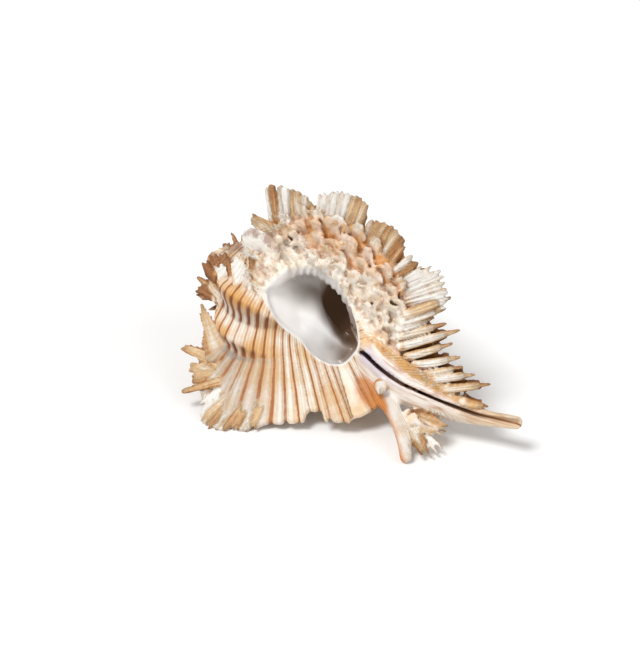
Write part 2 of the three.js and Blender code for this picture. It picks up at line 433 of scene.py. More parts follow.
def slid_place(radius, level, ahead):
    """The place at a distance ahead that would slide back to a radius and level."""
    lipward, apexward = slid(radius, level, ahead)
    return beside(lipward, ahead, apexward)


def add_flange(clay, turn, edge, front, thin, root, blend, rib, slide=False):
    """A flange across the whorls at a turn: a thin sheet that thickens by root towards the whorl.

    Front is how far ahead of the turn its face lies, and rib the height of the cords across it.
    """
    chart = loop_chart(edge)
    size = size_at(turn)
    radius, level, at_turn = axis_places(clay.spots())
    out, ahead = out_and_ahead(radius, at_turn - turn)
    near = np.flatnonzero((out > 0) & (np.abs(ahead) < 15) & (clay.outside > -6))
    out, ahead, level = out.flat[near], ahead.flat[near], level.flat[near]
    if slide:
        out, level = flat_view(out, ahead, level)
        front = np.maximum(LIP_FRONT.read(out, level)[0], front)
    beyond, _ = chart.read(out, level)
    _, along = sheet_chart.read(out / size, level / size)
    cord = cord_number(along)
    if rib:
        beyond = beyond + 0.5 * lumps(np.stack([cord * 1.4, cord * 0, cord * 0], -1), 1.0)
        beyond = beyond - 0.9 * (cord_relief(cord) - 0.6)
    depth = np.maximum(-beyond, 0)
    relief = rib * cord_relief(cord)
    back = thin - front + root * smoothstep(depth, 2, 16) + relief
    face = front + relief * 0.5
    sheet = np.maximum(ahead - face, -ahead - back)
    outside = smooth_max(beyond, sheet, 0.8)
    clay.outside.flat[near] = smooth_min(clay.outside.flat[near], outside, blend).astype(np.float32)


# --- Rods and fronds ----------------------------------------------------------------------------

def add_rod(clay, stations, blend, **notes):
    """A rod through stations of x, y, z and radius."""
    points = np.asarray(stations, float)
    cut = clay.window(points[:, :3], points[:, 3].max() + 3)
    spots = clay.spots(cut)
    clay.add(cut, rod_skin(spots, points), blend, **notes)


def rod_stations(where, rows):
    """Stations of a rod: where the first three numbers of each row lie, and a radius."""
    return [(*where(*row[:3]), row[3]) for row in rows]


def rod_skin(spots, points):
    """How far outside the rod through some stations each spot is."""
    outside = np.full(spots.shape[:-1], FAR, np.float32)
    for start, end in zip(points, points[1:]):
        run = end[:3] - start[:3]
        share = np.clip(((spots - start[:3]) @ run) / (run @ run), 0, 1)
        gap = np.linalg.norm(spots - start[:3] - share[..., None] * run, axis=-1)
        outside = np.minimum(outside, gap - start[3] - share * (end[3] - start[3]))
    return outside


def add_frond(clay, base, tip, face, width, thick, taper=0.4, bend=0.0, gutter=0.0, blend=0.35,
              tint=0.0, ragged=0.0, rounded=0.0):
    """A frond from base to tip: an oval rod or, with a gutter, a leaf folded towards its face."""
    base = np.asarray(base, float)
    tip = np.asarray(tip, float)
    length = np.linalg.norm(tip - base)
    along = (tip - base) / length
    across = np.cross(face, along)
    across = across / np.linalg.norm(across)
    front = np.cross(along, across)
    cut = clay.window([base, tip], width / 2 + abs(bend) + abs(gutter) + 1.5)
    if cut is None:
        return
    away = clay.spots(cut) - base
    climbed = away @ along
    share = np.clip(climbed / length, 0, 1)
    side = away @ across
    half_width = width / 2 * (1 - taper * share) * np.sqrt(1 - rounded * share ** 5)
    half_thick = np.maximum(thick / 2 * (1 - 0.45 * share), 0.4)
    lift = away @ front - 4 * bend * share * (1 - share)
    lift = lift - gutter * np.minimum((side / half_width) ** 2, 1.6)
    over = np.maximum(climbed - length, 0) + np.maximum(-climbed, 0)
    over = over + ragged * share ** 4 * (1 + np.sin(side * 4.2 + 9 * tint + base[0])) / 2
    reach = np.sqrt((side / half_width) ** 2 + (lift / half_thick) ** 2 + (over / half_thick) ** 2)
    flute = np.clip(side / half_width, -1, 1)
    clay.add(cut, (reach - 1) * half_thick, blend, tip=share, tint=tint, flute=flute)


def between(first, second, share):
    return np.asarray(first, float) * (1 - share) + np.asarray(second, float) * share


def add_fan(clay, at, bases, tips, tints, face, ahead=(0.0, 0.0), thick=1.9, fill=1.1, splay=1.0,
            ragged=0.5, web=0.72):
    """A row of fronds side by side, from a line of bases to a line of tips, with a web behind them.

    Bases and tips are radius and level. At gives the place of a radius, a level and a height ahead.
    Fill is a frond's width at its base as a share of the room it has, splay the same at its tip.
    """
    count = len(tints)
    shares = (np.arange(count) + 0.5) / count
    base_line = curve_through(bases, 8)
    tip_line = curve_through(tips, 8)
    starts = np.array([line_point(base_line, share) for share in shares])
    ends = np.array([line_point(tip_line, share) for share in shares])
    base_room = line_length(base_line) / count
    tip_room = line_length(tip_line) / count
    for number, (start, end, tint) in enumerate(zip(starts, ends, tints)):
        jitter = 0.35 * math.sin(number * 2.4 + start[0])
        reach = end + (end - start) * 0.05 * jitter
        add_frond(
            clay, at(*start, ahead[0]), at(*reach, ahead[1] + jitter), face, base_room * fill, thick,
            taper=1 - splay * tip_room / (base_room * fill), tint=tint, ragged=ragged, blend=0.25,
        )
        if web:
            middle = between(start, end, web)
            behind = between(ahead[0], ahead[1], web) - thick * 0.4
            add_frond(
                clay, at(*start, ahead[0] - thick * 0.4), at(*middle, behind), face,
                base_room * 1.6, 1.0, taper=1 - tip_room / base_room, tint=0.6, ragged=ragged, blend=0.3,
            )


def line_length(line):
    return np.linalg.norm(np.diff(line, axis=0), axis=1).sum()


def line_point(line, share):
    """The point at a share of the way along a line of points."""
    runs = np.linalg.norm(np.diff(line, axis=0), axis=1)
    walked = np.concatenate([[0], np.cumsum(runs)]) / runs.sum()
    return np.array([np.interp(share, walked, line[:, axis]) for axis in range(2)])


# Tints go from 0, white, through 0.5, tan, to 1, brown.
LIP_FANS = [
    dict(bases=[(17.0, -16.4), (19.0, -20.1), (22, -24), (23.4, -26)],
         tips=[(24.0, -12.8), (26.2, -15.6), (26.9, -19.4), (27.4, -21.6), (27.2, -24.8)],
         tints=[0.1, 0.65, 0.2, -0.3, 0.5, 0.3, 0.1], thick=2.4, fill=1.3, splay=1.15, ragged=0.2),
    dict(bases=[(23.4, -25.4), (24.4, -28)], tips=[(26.7, -24.8), (26.9, -27.2)],
         tints=[0.35, 0.45], thick=1.7),
    dict(bases=[(24.2, -28), (26, -33.5), (26.4, -40)],
         tips=[(29.2, -27.4), (32.2, -31.6), (33.8, -36.6), (33.4, -40.8)],
         tints=[0.1, 0.0, 0.1, 0.0, 0.15, 0.05, 0.35, 0.5, 0.3],
         thick=2.3, ragged=0.7, fill=1.3, splay=1.15),
    dict(bases=[(25, -41), (25.4, -44.2), (24, -47.8), (22.2, -50.6)],
         tips=[(30, -41.8), (31.4, -46.8), (30.4, -50.4), (27.6, -51.8)],
         tints=[0.25, 0.5, 0.35, 0.6, 0.3, 0.75, 0.6], thick=2.1, ragged=0.5, fill=1.2, splay=1.15),
    dict(bases=[(22.2, -50.8), (20.8, -53.2)], tips=[(27.6, -53.4), (25.6, -56.4)],
         tints=[0.1, 0.7], thick=2.2, fill=1.2),
    dict(bases=[(20.6, -53.2), (18, -56.2), (15, -57.2)],
         tips=[(24.6, -57), (27, -60.6), (26.2, -63), (22, -65.6), (19.6, -64.8)],
         tints=[0.0, 0.1, 0.05, 0.15, 0.0, 0.05], thick=2.3, ragged=1.0, fill=1.3),
]
# The broad leaves at the lip's apex end: base, tip, width, taper, gutter, tint, heights, thickness.
LIP_LEAVES = [
    ((8.4, -20), (10.2, -10.8), 8.8, 0.0, 0.4, -0.6, (2.4, 2.2), 2.4),
    ((14.0, -20.2), (10.4, -14.2), 1.9, 0.4, 0.3, 0.55, (4.2, 4.2), 1.5),
    ((14.6, -20.6), (15.4, -11.4), 5.2, 0.1, 0.7, 0.3, (0.6, 0.8), 1.8),
    ((13.4, -19.4), (16.6, -11.0), 2.2, 0.1, 0.4, 0.6, (0.0, 0.0), 1.5),
    ((14.8, -20.6), (18.6, -21.6), 3.0, 0.0, 0.8, 0.4, (1.2, 2.0), 1.3),
    ((11.6, -20.4), (13.2, -16.2), 3.0, 0.1, 0.6, 0.3, (1.8, 2.8), 1.2),
]
# The comb beside the canal: radius and level of base and tip, width, tint.
LIP_COMB = [
    ((13.6, -57.2), (22.4, -65.9), 2.4, 0.35),
    ((11.4, -56.8), (19.3, -65.4), 2.3, 0.15),
    ((9.4, -56.4), (15.9, -63.6), 2.0, 0.1),
    ((7.4, -56.7), (16.0, -66.6), 2.2, 0.25),
    ((5.3, -57.8), (16.3, -70.3), 2.3, 0.15),
    ((3.6, -60.0), (12.2, -69.4), 2.1, 0.2),
    ((2.6, -62.4), (10.1, -72.1), 2.3, 0.1),
    ((2.0, -65.4), (8.2, -73.4), 1.9, 0.25),
    ((1.9, -67.6), (8.1, -76.8), 2.2, 0.15),
    ((1.4, -71.2), (7.9, -81.0), 2.1, 0.3),
    ((0.8, -76.2), (2.6, -82.0), 1.8, 0.35),
]


def add_lip_fronds(clay):
    """The newest lip's leaves, fans and comb. Each rod of the comb has a point and a web behind."""
    ahead = growth_at(0)
    for base, tip, width, taper, gutter, tint, heights, thick in LIP_LEAVES:
        add_frond(clay, raised_place(*base, heights[0]), raised_place(*tip, heights[1]), ahead, width,
                  thick, taper=taper, gutter=gutter, tint=tint, rounded=0.9)
    for fan in LIP_FANS:
        add_fan(clay, lip_place, face=ahead, **fan)
    for base, tip, width, tint in LIP_COMB:
        add_frond(clay, raised_place(*base, 2.4), raised_place(*between(base, tip, 0.72), 0.6), ahead,
                  width, 2.6, taper=0.2, bend=0.3, tint=tint, blend=0.15)
        add_frond(clay, lip_place(*between(base, tip, 0.5)), lip_place(*tip, -0.4), ahead,
                  width * 0.8, 1.6, taper=0.6, tint=tint + 0.3, blend=0.3)
        add_frond(clay, lip_place(*base, -0.8), lip_place(*between(base, tip, 0.75), -0.8), ahead,
                  width * 1.6, 1.0, taper=0.3, tint=0.8, blend=0.3, ragged=0.5)


SCALE_ROWS = 15
SCALE_SPACING = 2.9
# The edges of the lip's face, beside the mouth and at the margin, as radius and level slid back.
FACE_INNER = [
    (-3.6, -20.6), (0, -20.6), (5.6, -23.6), (9.4, -27.2), (11.4, -31.2), (11.6, -34.6), (11, -38),
    (8.6, -41.8), (4.8, -46), (2.6, -49.6), (1.8, -54.5),
]
FACE_OUTER = [
    (-1.6, -16.6), (4, -15.6), (12.6, -17.8), (19.6, -21.6), (24.4, -28), (26.2, -35), (25.8, -41),
    (24, -47.6), (19.8, -53.4), (13.6, -56.2), (2.6, -58),
]


def add_lip_scales(clay):
    """Small cupped scales in rows over the lip's face, the edges of earlier growth steps."""
    dice = np.random.default_rng(11)
    inner_line = curve_through(FACE_INNER, 8)
    outer_line = curve_through(FACE_OUTER, 8)
    for row in range(SCALE_ROWS):
        share = (row + 0.5) / SCALE_ROWS
        inner = line_point(inner_line, share)
        outer = line_point(outer_line, share)
        run = outer - inner
        outward = run / np.linalg.norm(run)
        steps = int(np.linalg.norm(run) / SCALE_SPACING) + 1
        for step in range(steps):
            reach = (step + 0.6 + 0.4 * dice.random()) / steps
            spot = inner + run * reach + dice.normal(0, 0.4, 2)
            long = 1.5 + 1.8 * reach + 0.6 * dice.random()
            wide = 2.3 + 1.5 * reach + 0.8 * dice.random()
            rise = 1.1 + 1.2 * dice.random() + 0.7 * reach
            add_frond(
                clay, lip_place(*(spot - outward * 0.8), 0.0), lip_place(*(spot + outward * long), rise),
                growth_at(0), wide, 1.2,
                taper=0.0, gutter=0.8, tint=0.3 * dice.random(), blend=0.6, ragged=0.4,
            )


# Leaves of the left varix: base, tip, width, taper, gutter, tint, and how far ahead both lie.
LEFT_LEAVES = [
    ((20.6, -22.4), (12.7, -10.0), 7.5, 0.85, 0.9, 0.4, (-1.4, -2.6)),
    ((21.6, -25.4), (23.6, -12.6), 4.6, 0.55, 0.6, 0.45, (-0.6, -1.0)),
    ((22.6, -25.6), (26.6, -17.6), 4.2, 0.3, 0.5, 0.4, (-0.4, -0.6)),
    ((23.6, -26.4), (29.0, -20.4), 3.6, 0.35, 0.5, 0.55, (-0.4, -0.6)),
    ((24.4, -27.6), (32.8, -20.6), 2.6, 0.4, 0.4, 0.5, (-0.8, -1.4)),
]


def left_place(radius, level, ahead=0.0):
    return place(radius, level, LEFT_TURN, ahead)


def add_left_fronds(clay):
    """Broad leaves and a fan of fronds along the left flange, facing back."""
    back = -growth_at(LEFT_TURN)
    for base, tip, width, taper, gutter, tint, ahead in LEFT_LEAVES:
        add_frond(clay, left_place(*base, ahead[0]), left_place(*tip, ahead[1]), back,
                  width, 1.3, taper=taper, gutter=gutter, tint=tint, ragged=0.3)
    add_fan(clay, left_place, [(22, -27.6), (24.4, -31), (23, -35.4), (21, -38.4)],
            [(32.2, -25.6), (36, -28.8), (36.2, -33.6), (32.6, -37.6), (30.2, -40.9)],
            [0.0, 0.1, 0.4, 0.6, 0.65, 0.6, 0.6, 0.5, 0.45], back, ahead=(-0.6, -0.8), thick=1.4,
            ragged=0.6, web=0)


def add_frond_row(clay, turn, size, row, face, tint):
    """A row of fronds on a flange that is a share of full size: place along the outline, reach, width."""
    for along, reach, width in row:
        spot = line_point(WHORL_OUTLINE, along)
        ahead_spot = line_point(WHORL_OUTLINE, min(along + 0.02, 1))
        run = (ahead_spot - spot) / np.linalg.norm(ahead_spot - spot)
        outward = np.array([-run[1], run[0]])
        base = (spot + outward * 0.5) * size
        tip = base + outward * reach * size
        add_frond(clay, place(*base, turn), place(*tip, turn, -0.12 * reach * size),
                  face, width * size, max(1.8 * size, 0.9), taper=0.5, gutter=0.7 * size,
                  tint=tint + 0.25 * math.sin(9 * along), ragged=0.5, blend=0.4)


# Rows of fronds: place along the outline, reach and width.
DORSAL_ROW = [(0.04 + 0.085 * number, 8.5 - 0.12 * (number - 4) ** 2, 4.2) for number in range(11)]
EARLY_ROW = [(0.03, 8, 4.6), (0.12, 10, 4.4), (0.21, 10, 4.4), (0.3, 8, 4), (0.4, 6, 4)]

# Old fronds beside the newest whorl's shoulder, as places beside the axis (towards the lip, ahead,
# level) of base and tip, with width, thickness, gutter and tint.
SHOULDER_FRONDS = [
    ((8.4, 12.9, -26.4), (14.0, 11.6, -20.6), 4.6, 1.8, -0.6, 0.05),
    ((8.6, 13.6, -25.6), (13.8, 12.4, -21.0), 1.7, 1.6, 0.3, 0.8),
    ((6.7, 14.2, -22.3), (11.6, 11.7, -16.6), 4.4, 1.5, 0.9, 0.0),
    ((5.0, 14.2, -20.5), (9.9, 11.8, -15.0), 2.6, 1.8, -0.5, 0.8),
    ((3.4, 13.4, -19.0), (7.3, 11.5, -12.6), 4.6, 1.6, 0.9, -0.1),
    ((2.2, 13.0, -17.6), (5.4, 12.2, -13.2), 3.0, 1.6, -0.6, 0.75),
    ((1.8, 9.5, -14.1), (6.2, 7.7, -7.2), 3.4, 1.6, 0.8, 0.7),
    ((1.0, 10.3, -13.7), (4.2, 9.5, -6.6), 3.4, 1.6, -0.8, 0.85),
    ((3.0, 8.6, -14.3), (7.6, 6.9, -9.3), 3.0, 1.6, 0.8, 0.6),
    ((-0.8, 11.7, -13.4), (-1.0, 12.9, -8.6), 2.2, 1.3, 0.3, 0.8),
    ((-1.6, 12.0, -13.9), (-2.3, 12.7, -8.9), 1.5, 1.1, 0.3, 0.9),
    ((0.3, 11.6, -12.4), (0.8, 11.5, -7.2), 1.8, 1.1, 0.3, 0.6),
    ((-0.3, 12.6, -15.9), (2.6, 13.1, -11.6), 2.6, 1.4, -0.5, 0.3),
    ((0.5, 13.9, -17.5), (-4.4, 16.0, -19.1), 2.8, 1.8, -0.5, 0.45),
]


def add_early_fronds(clay):
    """The worn fronds of earlier varices, and those that stand beside the newest whorl."""
    dice = np.random.default_rng(5)
    for older in range(4, 11):
        turn = -VARIX_STEP * older + 5 * (older % 3 == 2)
        size = size_at(turn)
        row = [
            (along, reach * (0.6 + 0.4 * dice.random()), width * (0.9 + 0.4 * dice.random()))
            for along, reach, width in EARLY_ROW
        ]
        add_frond_row(clay, turn, size, row, growth_at(turn), 0.2 + 0.09 * (older - 3))
    facing = beside(*FACING)
    for base, tip, width, thick, gutter, tint in SHOULDER_FRONDS:
        add_frond(clay, beside(*base), beside(*tip), facing, width, thick, taper=0.2, gutter=gutter,
                  tint=tint, ragged=0.6, blend=0.3)


# --- Canals -------------------------------------------------------------------------------------

# The canals, as x, y, z and radius.
CANAL = rod_stations(beside, [
    (3.0, 0.8, -43, 6.2), (0.0, 1.6, -54, 5.7), (-1.5, 2.0, -62, 5.0),
    (-1.6, 1.7, -70, 4.0), (-0.9, 0.9, -77, 2.8), (0.1, 0.1, -83, 1.8),
    (2.6, -0.5, -89.6, 1.5),
])
# The slit along the canal: where it slides back to, how far ahead it lies, and its half width.
SLIT_LINE = [
    (-0.8, -46.2, 3.5, 0.6), (-1.9, -49.5, 6.4, 0.52), (-2.9, -52.7, 6.9, 0.48), (-3.5, -56.5, 6.8, 0.45),
    (-3.7, -60.1, 6.5, 0.42), (-3.0, -65.6, 5.2, 0.4), (-2.2, -71.1, 4.1, 0.4),
    (-1.2, -76.3, 3.0, 0.42), (-0.1, -81.3, 1.8, 0.5), (2.9, -90.4, 1.0, 0.9),
]
SLIT = rod_stations(slid_place, SLIT_LINE)
# The canal's middle and radius beside each station of the slit.
CANAL_AT_SLIT = rod_stations(beside, [
    (2.2, 1.0, -46, 6.0), (0.8, 1.4, -51, 5.8), (-0.6, 1.8, -56.5, 5.5),
    (-1.3, 2.0, -60.5, 5.1), (-1.6, 2.0, -64, 4.8), (-1.6, 1.8, -68.6, 4.2),
    (-1.1, 1.3, -73.5, 3.5), (-0.6, 0.7, -78, 2.6), (0.1, 0.2, -82.5, 1.9),
    (2.6, -0.5, -89.6, 1.5),
])
# Where the canal's smooth wall meets the cords below it: radius slid back, and distance down.
CANAL_BORDER = [(-4.5, 46.4), (-9.3, 51.6), (-10.2, 54.8), (-11.7, 59.6), (-12.5, 64), (-20, 68)]
OLD_CANAL = rod_stations(place, [
    (2, -46, LEFT_TURN, 4.6), (5.6, -55.6, LEFT_TURN, 3.4),
    (8.2, -61.2, LEFT_TURN, 2.1), (11.2, -66.6, LEFT_TURN - 1, 1.75),
    (14.6, -70.8, LEFT_TURN - 2, 1.55), (17.8, -73.8, LEFT_TURN - 3, 1.3),
])
DORSAL_CANAL = rod_stations(place, [
    (1.5, -46, DORSAL_TURN, 5.0), (5.4, -57, DORSAL_TURN, 3.0),
    (8.6, -65, DORSAL_TURN, 2.0), (12, -71, DORSAL_TURN, 1.2),
])


def add_canals(clay):
    """The canal, the two left over from earlier lips, and the knob where the left one begins."""
    add_rod(clay, curve_through(CANAL, 3), 1.2)
    add_rod(clay, curve_through(OLD_CANAL, 3), 1.0, tip=0.0)
    add_rod(clay, curve_through(DORSAL_CANAL, 3), 1.0)
    add_frond(clay, left_place(6.8, -59.2, -3.2), left_place(8.4, -60.8, -3.8),
              -growth_at(LEFT_TURN), 3.0, 2.6, taper=0.1, tint=0.1)


# Crumpled fronds of the left varix: base and tip as radius and level, width, tint.
CRUMPLED = [
    ((9.0, -68.6), (6.8, -77.0), 3.6, 0.5), ((9.8, -68.6), (8.8, -77.2), 3.0, 0.2),
    ((10.2, -68.8), (12.6, -78.6), 4.0, 0.1), ((10.6, -68.6), (14.4, -76.8), 3.4, 0.6),
    ((11.4, -68.0), (14.0, -73.6), 3.0, 0.2), ((9.6, -67.4), (8.6, -71.6), 3.0, 0.8),
]

# Where the ridge slides back to, and how far ahead it lies.
CANAL_RIDGE = [
    (2.6, -50.4, 4.2), (1.5, -54, 4.4), (1.1, -58, 4.2), (0.7, -62, 4.0), (0.3, -66, 3.2),
    (0.2, -70, 2.4), (0.0, -75, 1.6), (0.8, -79, 1.0),
]
RIDGE_FLAKES = 34


def add_canal_ridge(clay):
    """A flaky ridge between the canal's wall and the comb."""
    dice = np.random.default_rng(3)
    ridge = curve_through(CANAL_RIDGE, 8)
    for flake in range(RIDGE_FLAKES):
        share = (flake + 0.5) / RIDGE_FLAKES
        radius, level = line_point(ridge, share)
        ahead = np.interp(share, np.linspace(0, 1, len(ridge)), ridge[:, 2])
        reach = 0.7 + 0.8 * dice.random()
        add_frond(clay, slid_place(radius - 1.0, level + 0.4, ahead - 0.6),
                  slid_place(radius + reach, level - 0.7, ahead + 0.4 * dice.random()),
                  beside(*FACING), 2.0, 1.1, taper=0.1, gutter=0.4, tint=0.1 + 0.4 * dice.random(),
                  ragged=0.5, blend=0.4)


def add_crumpled_fronds(clay):
    """Thin fronds crushed together beside the old canal."""
    for number, (base, tip, width, tint) in enumerate(CRUMPLED):
        shift = 0.9 * math.sin(2.3 * number)
        add_frond(clay, left_place(*base, shift), left_place(*tip, -shift),
                  -growth_at(LEFT_TURN), width * 1.15, 1.3, taper=0.1, gutter=0.9, tint=tint, ragged=0.8)


def dig_slit(clay):
    """The narrow slot along the canal, from its inside out through its wall."""
    middle = curve_through(CANAL_AT_SLIT, 4)
    mouth = curve_through(SLIT, 4)
    cut = clay.window(np.vstack([middle, mouth])[:, :3], 3)
    spots = clay.spots(cut)
    inside = middle.copy()
    inside[:, 3] = np.clip(middle[:, 3] * 0.3, 0.5, 1.2)
    outside = rod_skin(spots, inside)
    for share in (0.3, 0.5, 0.7, 0.85, 1.0, 1.2):
        line = between(middle, mouth, share)
        line[:, 3] = mouth[:, 3]
        outside = np.minimum(outside, rod_skin(spots, line))
    clay.dig(cut, outside, 0.35)


# --- Mouth --------------------------------------------------------------------------------------

# The white mouth, slid back to the lip's plane as the lip is: its edge, first along the lip's rim
# and then along the glaze laid over the older whorl.
MOUTH_EDGE = curve_through([
    (0.4, -20.4), (2.6, -21.6), (6.2, -23.7), (9.6, -27), (11.5, -31), (11.6, -34.5), (10.9, -37.9),
    (8.3, -41.4), (5.6, -44), (2.6, -45.8), (-0.5, -46.8), (-3.3, -46.2), (-6.9, -44.3), (-8.9, -41.1),
    (-9.3, -37.3), (-8.7, -34.7), (-7.4, -32.1), (-6.8, -27.5), (-5.6, -24.3), (-3.3, -21.6),
    (-1.2, -20.4), (0.4, -20.4),
], 4)[:-1]
mouth_chart = loop_chart(MOUTH_EDGE)
# How far ahead of the axis the mouth's floor lies.
MOUTH_FLOOR = slope_chart([
    (0, -20, 12.4), (-3.3, -21.6, 13), (-5.6, -24.3, 12.6), (-6.8, -27.5, 11.3), (-7.4, -32.1, 8.8),
    (-8.8, -34.7, 7.4), (-9.3, -37.3, 5.7), (-8.9, -41.1, 2.6), (-6.9, -44.3, 0.3), (-3.5, -46, -0.2),
    (-3, -26, 10), (-3.6, -31, 7), (-1.6, -28, 8), (-0.4, -32, 5.4), (-4, -36, 4.4),
    (-5, -41, 1.2), (0.8, -24, 9.2), (3, -26, 6), (3, -31, 2), (2.2, -35.4, 1.6),
    (-0.2, -39.4, 0.8), (-1.6, -42.4, 0.2), (-1.8, -45.4, -0.6), (4.4, -38, -6), (6, -36, -5),
    (7, -32, -2), (6, -27, 1.6), (9, -30, -1.2), (9.6, -35, -4), (5, -43, -8), (2, -41.6, -8),
    (1, -44.4, -8), (2, -46, -6),
])
# The small teeth along the mouth's rim: how far they stand in, and from one to the next.
RIM_TEETH = 0.3
RIM_PITCH = 1.75
# The hollow behind the mouth: turn, radius, level, half width, half length.
HOLLOW = np.array([
    (-200, 7.6, -25.6, 1.0, 2.5), (-170, 8.2, -27, 2.2, 4), (-135, 9.0, -31, 4, 6),
    (-90, 9.0, -35.6, 5.4, 6.4), (-45, 7.4, -39.2, 6.2, 6.8), (-20, 6.4, -40.6, 5.4, 6.2),
    (-8, 5.2, -41.2, 4.6, 5.6), (0, 4.6, -41.6, 4.0, 5),
], np.float32)


def hollow_skin(radius, level, turn):
    """How far outside the hollow behind the mouth each place is."""
    outside = np.full(radius.shape, FAR, np.float32)
    near = np.flatnonzero((turn > HOLLOW[0, 0]) & (turn < HOLLOW[-1, 0]))
    centre, middle, wide, long = (
        np.interp(turn.flat[near], HOLLOW[:, 0], HOLLOW[:, column]) for column in (1, 2, 3, 4)
    )
    down = level.flat[near] - middle
    side = radius.flat[near] - centre - down * 0.18
    reach = np.sqrt((side / wide) ** 2 + (down / long) ** 2)
    outside.flat[near] = (reach - 1) * wide * 0.9
    return outside


def mouth_skin(radius, level, turn):
    """How far outside the mouth each place is: within its edge, and ahead of its floor."""
    outside = np.full(radius.shape, FAR, np.float32)
    out, ahead = out_and_ahead(radius, turn)
    within = (ahead > -7) & (ahead < 22) & (out > -14) & (out < 24) & (level > -58) & (level < -10)
    near = np.flatnonzero(within)
    out, ahead, level = out.flat[near], ahead.flat[near], level.flat[near]
    flat_out, flat_level = flat_view(out, ahead, level)
    beyond, _ = mouth_chart.read(flat_out, flat_level)
    front, = LIP_FRONT.read(flat_out, flat_level)
    floor, = MOUTH_FLOOR.read(flat_out, flat_level)
    on_rim = smoothstep(flat_out, -1, 3)
    teeth = RIM_TEETH * np.cos(2 * math.pi * flat_level / RIM_PITCH) * smoothstep(flat_out, 5, 9)
    below_front = np.maximum(front - ahead, 0)
    beyond = beyond + on_rim * (teeth + 1.5 * smoothstep(below_front, 0, 1.8))
    outside.flat[near] = smooth_max(beyond, (floor - ahead) * 0.7, 1.2)
    return outside


def add_callus_edge(clay):
    """The raised edge of the glaze on the older whorl."""
    edge = [(*spot, MOUTH_FLOOR.read(np.array(spot[0]), np.array(spot[1]))[0]) for spot in MOUTH_EDGE]
    rod = [(*slid_place(*spot), 0.75) for spot in edge if spot[0] < -0.8 and spot[1] > -46.3]
    add_rod(clay, rod, 1.0)


def dig_mouth(clay):
    """Opens the mouth and the hollow behind it."""
    spots = clay.spots()
    radius, level, turn = axis_places(spots)
    clay.outside = smooth_max(clay.outside, -hollow_skin(radius, level, turn), 0.8).astype(np.float32)
    clay.outside = smooth_max(clay.outside, -mouth_skin(radius, level, turn), 1.0).astype(np.float32)


# --- Rough growth -------------------------------------------------------------------------------

def roughen(clay):
    """Uneven growth: chalky lumps on the lip's face and the fronds, faint ones elsewhere."""
    near = np.flatnonzero(np.abs(clay.outside) < 1.5)
    spots = clay.spots().reshape(-1, 3)[near]
    radius, level, turn = axis_places(spots)
    face = lip_face(radius, level, turn)
    frond = clay.notes["tip"].flat[near]
    strength = 0.05 + 0.2 * face + 0.1 * np.clip(frond, 0, 1)
    clay.outside.flat[near] += (strength * lumps(spots, 2.1)).astype(np.float32)
    clay.outside.flat[near] += (strength * 0.4 * lumps(spots + 50, 1.1)).astype(np.float32)


FACE_CHART = loop_chart(np.vstack([curve_through(FACE_INNER, 4), curve_through(FACE_OUTER, 4)[::-1]]))


def lip_face(radius, level, turn):
    """1 on the rough face of the newest lip, 0 away from it."""
    out, ahead = out_and_ahead(radius, turn)
    flat_out, flat_level = flat_view(out, ahead, level)
    front, = LIP_FRONT.read(flat_out, flat_level)
    beyond, _ = FACE_CHART.read(flat_out, flat_level)
    on_front = smoothstep(ahead - front, -2.2, -0.8) * (1 - smoothstep(ahead - front, 4, 6))
    return on_front * (1 - smoothstep(beyond, -0.6, 0.6)) * (out > -4)


# --- Skin ---------------------------------------------------------------------------------------

def largest_skin(points, quads):
    """Keeps the largest connected skin: its points and its faces."""
    label = np.arange(len(points))
    edges = np.concatenate([quads[:, [0, 1]], quads[:, [1, 2]], quads[:, [2, 3]]])
    while True:
        lowest = np.minimum(label[edges[:, 0]], label[edges[:, 1]])
        newer = label.copy()
        np.minimum.at(newer, edges[:, 0], lowest)
        np.minimum.at(newer, edges[:, 1], lowest)
        newer = newer[newer]
        if np.array_equal(newer, label):
            break
        label = newer
    biggest = np.bincount(label).argmax()
    kept = label == biggest
    number = np.cumsum(kept) - 1
    return points[kept], number[quads[kept[quads[:, 0]]]]


def skin_mesh(clay):
    """The clay's surface as a mesh, in millimetres from the apex."""
    grid = vdb.FloatGrid()
    grid.background = 3.0
    grid.copyFromArray(np.clip(clay.outside / clay.step, -3, 3).astype(np.float32))
    points, quads = grid.convertToQuads(isovalue=0.0)
    points, quads = largest_skin(points, quads.astype(np.int64))
    mesh = bpy.data.meshes.new("murex_skin")
    mesh.from_pydata(points * clay.step + clay.low, [], quads[:, ::-1])
    mesh.update()
    return mesh


def smooth_box(grid, cells):
    """A grid averaged over a box of cells each way, twice."""
    for _ in range(2):
        for axis in range(3):
            total = np.cumsum(np.pad(grid, [(cells + 1, cells) if a == axis else (0, 0) for a in range(3)],
                                     mode="edge"), axis=axis)
            high = np.take(total, np.arange(2 * cells + 1, total.shape[axis]), axis=axis)
            low = np.take(total, np.arange(0, total.shape[axis] - 2 * cells - 1), axis=axis)
            grid = (high - low) / (2 * cells + 1)
    return grid


def mesh_points(mesh):
    """The mesh's points, as rows of x, y and z."""
    flat = np.zeros(len(mesh.vertices) * 3, np.float32)
    mesh.vertices.foreach_get("co", flat)
    return flat.reshape(-1, 3)


def steady_points(mesh, values, most):
    """1 at the points round which a value changes slowly, 0 where it jumps and just beside that."""
    ends = np.zeros(len(mesh.edges) * 2, np.int32)
    mesh.edges.foreach_get("vertices", ends)
    ends = ends.reshape(-1, 2)
    jump = np.abs(values[ends[:, 0]] - values[ends[:, 1]]) > most
    steady = np.ones(len(values), np.float32)
    steady[ends[jump].ravel()] = 0
    for _ in range(2):
        beside_jump = np.minimum(steady[ends[:, 0]], steady[ends[:, 1]])
        np.minimum.at(steady, ends.ravel(), np.repeat(beside_jump, 2))
    return steady


